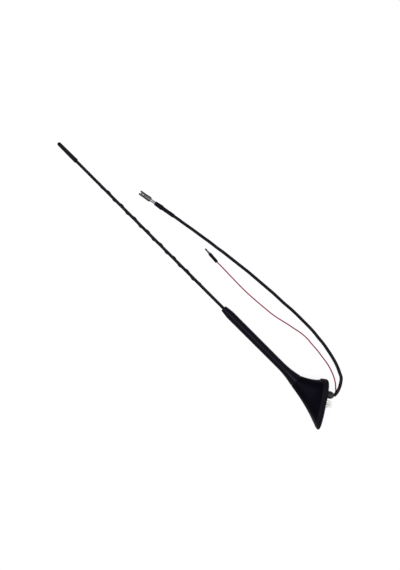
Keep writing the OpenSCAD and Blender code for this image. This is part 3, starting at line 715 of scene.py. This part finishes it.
# %% Locating clip
clip_x, clip_half, clip_length, clip_depth = 2.2, 5.2, 13.0, 3.0
clip_top, slit, barb, toe = 4.3, 0.8, 1.1, 1.2
outline = [(-clip_half, clip_top), (-clip_half, -3), (-clip_half - barb, -4.5),
           (-clip_half + toe, -clip_length), (-slit, -clip_length), (-slit, -2), (slit, -2),
           (slit, -clip_length), (clip_half - toe, -clip_length), (clip_half + barb, -4.5),
           (clip_half, -3), (clip_half, clip_top)]
clip = skin("clip_skin", [[(clip_x + x, y, z) for x, z in outline]
                          for y in (-clip_depth, clip_depth)], lay_base)
for face in clip.data.polygons:
    face.use_smooth = False
soft_edges = clip.modifiers.new("soft edges", "BEVEL")
soft_edges.width = 0.35 * MM
soft_edges.segments = 3
clip.data.materials.append(nylon)
print("clip outline", len(outline), "points")

# %% Grommet
grommet_r = 4.04
grommet_length = 9
dome_depth = 1.6
dome = [(grommet_r * cos(radians(a)), stud_end + dome_depth - grommet_r * sin(radians(a)))
        for a in range(0, 91, 6)]
grommet = turned("grommet_skin", [(grommet_r, stud_end + grommet_length)] + dome,
                 lay_base @ Matrix.Translation((stud_x * MM, 0, 0)))
grommet.data.materials.append(gasket_rubber)
print("grommet", len(grommet.data.polygons), "faces")

# %% [markdown]
# ## Plug and pin
# The plug is a lathe job from end to end: a sleeve with an open mouth, a shallow
# groove, a thicker body, a bare crimped neck, and two sleeves shrunk over the
# joint. Two slots through the front let the sleeve spring over its socket, and a
# boolean cut makes them. The shrunk sleeves follow what lies under them, so their
# profiles dip and swell. The bullet pin has a bulb and a neck for the socket's
# spring to grip.

# %% Plug shell and its inside
front_r, body_r, mouth_r, inside_r = 3.9, 4.1, 3.2, 2.0
front_length, body_length, mouth_depth = 11.0, 9.0, 9.0
edge, groove, ring_depth = 0.35, 0.5, 0.18
shell_end = front_length + body_length
shell_profile = rounded([
    (mouth_r, mouth_depth), (mouth_r, edge), (mouth_r + edge, 0.0), (front_r - edge, 0.0),
    (front_r, 0.4), (front_r, front_length - groove), (front_r - groove, front_length - 0.45),
    (front_r - groove, front_length - 0.05), (body_r - 0.15, front_length),
    (body_r, front_length + 0.3), (body_r, front_length + 2.0),
    (body_r - ring_depth, front_length + 2.2), (body_r - ring_depth, front_length + 2.6),
    (body_r, front_length + 2.8), (body_r, shell_end - 0.8), (body_r - 0.8, shell_end),
    (inside_r, shell_end)], 0.12, 3)
shell = turned("plug_shell_skin", shell_profile + [(inside_r, mouth_depth)], lay_plug, 64,
               loop=True)
shell.data.materials.append(nickel)
slot_reach, slot_half, slot_ends = 5, 1.1, (-1.0, 8.0)
slot_corners = ((-slot_reach, -slot_half), (slot_reach, -slot_half),
                (slot_reach, slot_half), (-slot_reach, slot_half))
cutter = skin("slot_cutter", [[(x, y, z) for x, y in slot_corners] for z in slot_ends], lay_plug)
slots = shell.modifiers.new("slots", "BOOLEAN")
slots.object = cutter
slots.solver = "EXACT"
bpy.context.view_layer.update()
depsgraph = bpy.context.evaluated_depsgraph_get()
slotted = bpy.data.meshes.new_from_object(shell.evaluated_get(depsgraph))
shell.modifiers.remove(slots)
shell.data = slotted
bpy.data.objects.remove(cutter)
print("plug shell", len(shell.data.polygons), "faces")

# %% Crimped neck and shrunk sleeves
crimp_r, crimp_length = 2.5, 9.0
wide_start = shell_end + crimp_length
slim_start = wide_start + 14.0
slim_end = slim_start + 21.5
crimp_skin_r, dip_r = crimp_r - 0.02, crimp_r - 0.25
crimp = turned("crimp_skin", rounded([
    (inside_r, shell_end + 0.05), (crimp_skin_r, shell_end + 0.05),
    (crimp_skin_r, shell_end + 1.6), (dip_r, shell_end + 2.0), (dip_r, shell_end + 6.8),
    (crimp_skin_r, shell_end + 7.2), (crimp_skin_r, wide_start + 3)], 0.2), lay_plug, 56)
crimp.data.materials.append(bright_nickel)
wide = turned("wide_shrink_skin", rounded([
    (crimp_r, wide_start + 0.3), (3.15, wide_start), (3.38, wide_start + 0.5),
    (3.44, wide_start + 3.0), (3.52, wide_start + 6.0), (3.80, wide_start + 9.0),
    (3.94, slim_start - 2.2), (3.90, slim_start - 0.9), (3.55, slim_start - 0.35),
    (3.2, slim_start), (inside_r, slim_start)], 0.5, 5), lay_plug, 56)
slim = turned("slim_shrink_skin", rounded([
    (inside_r, slim_start + 0.06), (3.13, slim_start + 0.06), (3.13, slim_start + 5.0),
    (3.06, slim_start + 9.0), (3.12, slim_start + 14.0), (3.1, slim_end - 1.3),
    (2.82, slim_end), (2.4, slim_end)], 0.7, 5), lay_plug, 56)
for sleeve in (wide, slim):
    sleeve.data.materials.append(shrink)
print("plug is", slim_end, "mm long with its sleeves")

# %% Bullet pin and its sleeve
bullet_r, bullet_length, pin_sleeve_length = 1.5, 10.0, 18.5
neck_r, tail_r = bullet_r - 0.35, bullet_r - 0.5
bullet_profile = rounded([
    (0.0, 0.0), (0.7 * bullet_r, 0.25 * bullet_r), (bullet_r, bullet_r),
    (bullet_r, 2.2 * bullet_r), (neck_r, 3 * bullet_r), (neck_r, 3.6 * bullet_r),
    (bullet_r, 4.6 * bullet_r), (bullet_r, bullet_length), (tail_r, bullet_length),
    (tail_r, bullet_length + 4)], 0.4, 4)
bullet = turned("bullet_pin_skin", [(r - hair, z) for r, z in bullet_profile], lay_pin, 32)
bullet.data.materials.append(olive_coat)
pin_end = bullet_length + pin_sleeve_length
pin_sleeve = turned("pin_sleeve_skin", rounded([
    (bullet_r - 0.4, bullet_length + 0.4), (2.1, bullet_length + 0.05),
    (2.55, bullet_length + 0.6), (2.58, bullet_length + 6.0), (2.45, bullet_length + 9.0),
    (2.56, bullet_length + 12.0), (2.5, pin_end - 1.2), (1.75, pin_end - 0.2),
    (0.9, pin_end)], 0.6, 5), lay_pin, 40)
pin_sleeve.data.materials.append(shrink)
print("pin is", pin_end, "mm long with its sleeve")

# %% [markdown]
# ## What stays as it is
# The pieces inside the fin and the few small ones that show only when the whip
# is unscrewed keep their solids. They still get the right finish, because a part
# that is opened up should look right too.

# %% Finishes for the solids that stay
kept = {
    "whip_core": core_fibre, "aerial_wire": brass, "mast_ferrule": zinc,
    "seal_washer": gasket_rubber, "mast_socket": brass, "contact_strip": brass,
    "amplifier_board": board_green, "screening_can": zinc, "board_screws": zinc,
    "base_plate": die_cast, "cover_screws": zinc, "plug_insulator": white_insulator,
    "plug_pin": bright_nickel}
for node_name, material in kept.items():
    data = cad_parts[node_name].data
    data.materials.clear()
    data.materials.append(material)
coax.data.materials.append(jacket)
feed.data.materials.append(wire_red)
print("finished solids", len(kept))

# %% [markdown]
# ## Fastening the looks to the frame
# Each skin rides on the body of the solid it stands for and hides that solid,
# so that unscrewing the whip carries its skins along.

# %% Riding and replacing
dressed = [
    (whip, "mast", "whip_sleeve", "black_plastic"), (cap, "mast", "tip_cap", "black_plastic"),
    (boot, "mast", "grip_boot", "black_rubber"), (fin, "base", "base_cover", "black_plastic"),
    (gasket, "base", "roof_gasket", "black_rubber"), (stud, "base", "roof_stud", "olive_steel"),
    (clip, "base", "locating_clip", "nylon"), (grommet, "base", "cable_grommet", "black_rubber"),
    (coax, "base", "coax_cable", "black_jacket"), (feed, "base", "feed_wire", "red_jacket"),
    (shell, "base", "plug_shell", "nickel"), (crimp, "base", "crimp_ferrule", "nickel"),
    (wide, "base", "wide_shrink", "black_jacket"), (slim, "base", "slim_shrink", "black_jacket"),
    (bullet, "base", "bullet_pin", "olive_steel"),
    (pin_sleeve, "base", "pin_sleeve", "black_jacket")]
for piece, body, node_name, slot_name in dressed:
    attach(piece, body)
    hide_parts(node_name)
print("dressed", len(dressed), "solids")

# %% [markdown]
# ## Bench and light
# The photograph has a pure white ground with next to no shadow. The bench is a
# sheet that glows for the camera and for reflections, so it reads as white while
# the aerial's own faint shadow still falls on it. A long strip light hangs in line
# with the mast and draws one soft streak down the whip, the boot and the lead.
# Three weaker boxes fill the sides.


# %% Bench
def seen_rays(tree):
    """1 for rays that show the ground as it looks: seen, mirrored or through glass."""
    path = tree.nodes.new("ShaderNodeLightPath")
    value = path.outputs["Is Camera Ray"]
    for label in ("Is Glossy Ray", "Is Transmission Ray"):
        either = tree.nodes.new("ShaderNodeMath")
        either.operation = "MAXIMUM"
        join(tree, value, either.inputs[0])
        join(tree, path.outputs[label], either.inputs[1])
        value = either.outputs[0]
    return value


bench_half_size = 3.0
bench_drop = 0.0004
bench_grey = 0.16
bench_glow = 0.85
bench_mesh = bmesh.new()
bmesh.ops.create_grid(bench_mesh, x_segments=1, y_segments=1, size=bench_half_size)
bench_data = bpy.data.meshes.new("bench")
bench_mesh.to_mesh(bench_data)
bench_mesh.free()
bench = bpy.data.objects.new("bench", bench_data)
bench.location.z = -bench_drop
scene.collection.objects.link(bench)
bench_paper = bpy.data.materials.new("Bench paper")
bench_paper.use_nodes = True
tree = bench_paper.node_tree
paper = tree.nodes["Principled BSDF"]
paper.inputs["Base Color"].default_value = rgb(bench_grey, bench_grey, bench_grey)
paper.inputs["Roughness"].default_value = 0.9
paper.inputs["Emission Color"].default_value = rgb(1, 1, 1)
join(tree, times(tree, seen_rays(tree), bench_glow), paper.inputs["Emission Strength"])
bench.data.materials.append(bench_paper)

# %% World and lamps
room_light = 0.15
room_as_seen = 1.0
world = bpy.data.worlds.new("studio")
scene.world = world
world.use_nodes = True
tree = world.node_tree
background = tree.nodes["Background"]
brightness = tree.nodes.new("ShaderNodeMapRange")
brightness.inputs["To Min"].default_value = room_light
brightness.inputs["To Max"].default_value = room_as_seen
join(tree, seen_rays(tree), brightness.inputs["Value"])
background.inputs["Color"].default_value = rgb(0.97, 0.985, 1.0)
join(tree, brightness.outputs["Result"], background.inputs["Strength"])


def soft_box(name, place, size, watts, colour, aimed_at=(0.1, 0.02, 0.0)):
    lamp = bpy.data.lights.new(name, "AREA")
    lamp.shape = "RECTANGLE"
    lamp.size, lamp.size_y = size
    lamp.energy = watts
    lamp.color = colour
    obj = bpy.data.objects.new(name, lamp)
    obj.location = place
    aim = Vector(aimed_at) - Vector(place)
    obj.rotation_euler = aim.to_track_quat("-Z", "Y").to_euler()
    scene.collection.objects.link(obj)


soft_box("left_box", (-0.35, -0.75, 0.95), (0.5, 1.2), 2.0, (0.90, 0.95, 1.0))
soft_box("right_box", (0.45, 0.85, 0.9), (0.5, 1.2), 1.5, (0.95, 0.97, 1.0))
soft_box("fill_box", (1.2, -0.3, 0.8), (0.8, 0.8), 1.0, (1.0, 0.97, 0.93))
soft_box("strip_box", (-0.12, -0.08, 1.3), (1.36, 0.2), 18.0, (0.88, 0.90, 1.0),
         aimed_at=(-0.12, -0.10, 0.0))
scene.view_settings.view_transform = "Standard"
